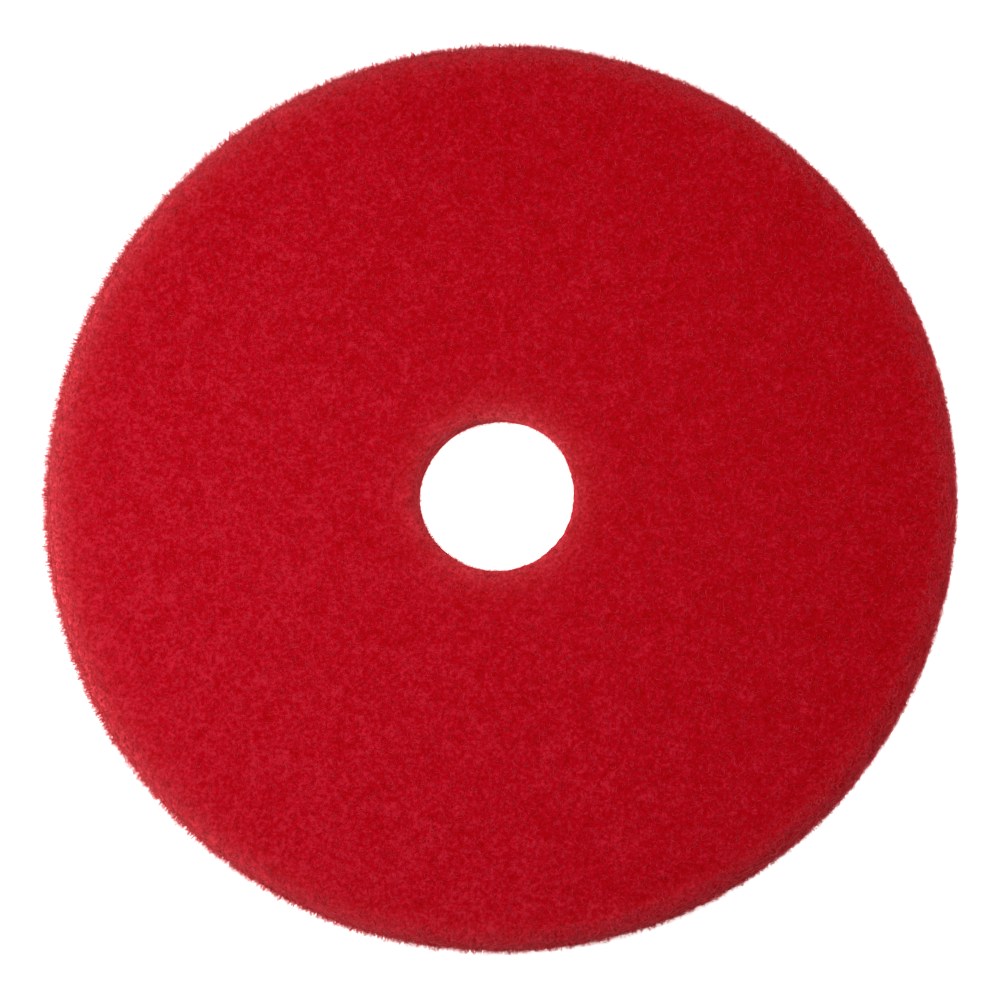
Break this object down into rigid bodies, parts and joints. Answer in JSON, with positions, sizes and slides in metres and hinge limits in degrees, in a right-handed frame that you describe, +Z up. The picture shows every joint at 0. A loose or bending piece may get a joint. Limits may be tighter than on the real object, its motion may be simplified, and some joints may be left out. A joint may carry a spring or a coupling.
{
  "type": "rotary floor machine pad",
  "caption": "Round red nonwoven fibre pad with a centre hole, for buffing floors under a rotary floor machine.",
  "frame": {"origin": "middle of the face that the pad lies on, at the axis of its centre hole", "axes": "+Z up along the centre hole's axis, from the lower face to the upper face; the pad is round, so +X is any direction across it"},
  "size_m": [0.5079, 0.508, 0.0254],
  "materials": {
    "face_web": "matte",
    "core_web": "matte"
  },
  "bodies": {
    "root": {"lower_face_layer": "face_web", "core_web": "core_web", "upper_face_layer": "face_web"}
  },
  "joints": []
}
